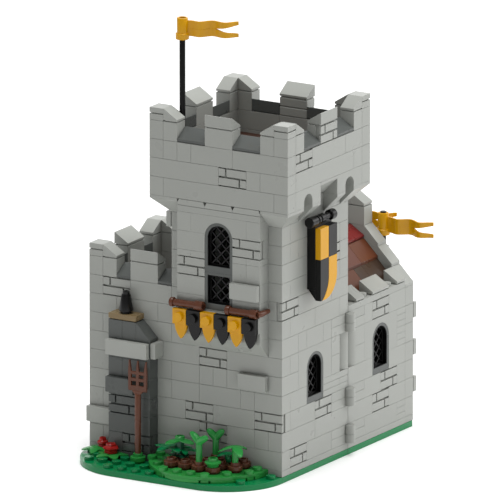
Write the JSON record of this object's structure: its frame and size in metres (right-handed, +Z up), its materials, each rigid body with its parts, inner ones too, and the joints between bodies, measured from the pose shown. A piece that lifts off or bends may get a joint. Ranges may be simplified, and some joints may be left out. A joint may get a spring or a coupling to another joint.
{
  "type": "toy castle keep",
  "caption": "Brick-built toy castle keep: a battlemented tower with a side wing, a bay, a garden strip and a rear hall that swings open on hinge bricks.",
  "frame": {"origin": "on the underside of the base, under the centre of the tower", "axes": "+X to the tower side, away from the wing; +Y to the rear, where the hall is; +Z up"},
  "size_m": [0.1203, 0.1741, 0.2317],
  "materials": {
    "light_grey": "smooth moulded plastic, light bluish grey",
    "dark_grey": "smooth moulded plastic, dark bluish grey",
    "green": "smooth moulded plastic, green",
    "bright_green": "smooth moulded plastic, bright green",
    "reddish_brown": "smooth moulded plastic, reddish brown",
    "dark_red": "smooth moulded plastic, dark red",
    "yellow": "smooth moulded plastic, warm yellow",
    "black": "smooth moulded plastic, black",
    "tan": "smooth moulded plastic, dark tan"
  },
  "bodies": {
    "front": {"base_front": "green", "garden_plate": "green", "garden_bed": "bright_green", "garden_pots": "reddish_brown", "garden_plants": "bright_green", "front_wall": "light_grey", "back_wall": "light_grey", "left_wall": "light_grey", "right_wall": "light_grey", "tower_left_wall": "light_grey", "decks": "reddish_brown", "corbels": "light_grey", "parapet": "light_grey", "merlons": "light_grey", "merlon_caps": "light_grey", "crenel_sills": "dark_grey", "bay_wall": "light_grey", "bay_trim": "light_grey", "bay_lower_frame": "dark_grey", "arched_frames": "dark_grey", "window_lattices": "black", "buttress": "dark_grey", "buttress_shelf": "tan", "shelf_cone": "black", "pitchfork": "reddish_brown", "bay_rail": "reddish_brown", "yellow_pennants": "yellow", "black_pennants": "black", "banner_backing": "black", "banner_yellow": "yellow", "raised_stones": "light_grey", "flagpole": "black", "flag": "yellow", "hinge_front": "light_grey"},
    "rear": {"base_rear": "green", "hall_right_wall": "light_grey", "hall_left_wall": "light_grey", "gable_wall": "light_grey", "roof_lower": "reddish_brown", "roof_upper": "reddish_brown", "roof_ridge": "dark_red", "hall_caps": "light_grey", "hall_frames": "dark_grey", "hall_lattices": "black", "rear_stones": "light_grey", "rear_flagpole": "black", "rear_flags": "yellow", "hinge_rear": "light_grey"}
  },
  "joints": [
    {"name": "hall_hinge", "type": "hinge", "parent": "front", "child": "rear", "pos_m": [0.03295, 0.032, 0.0384], "axis": [0, 0, -1], "range_deg": [0, 180]}
  ]
}
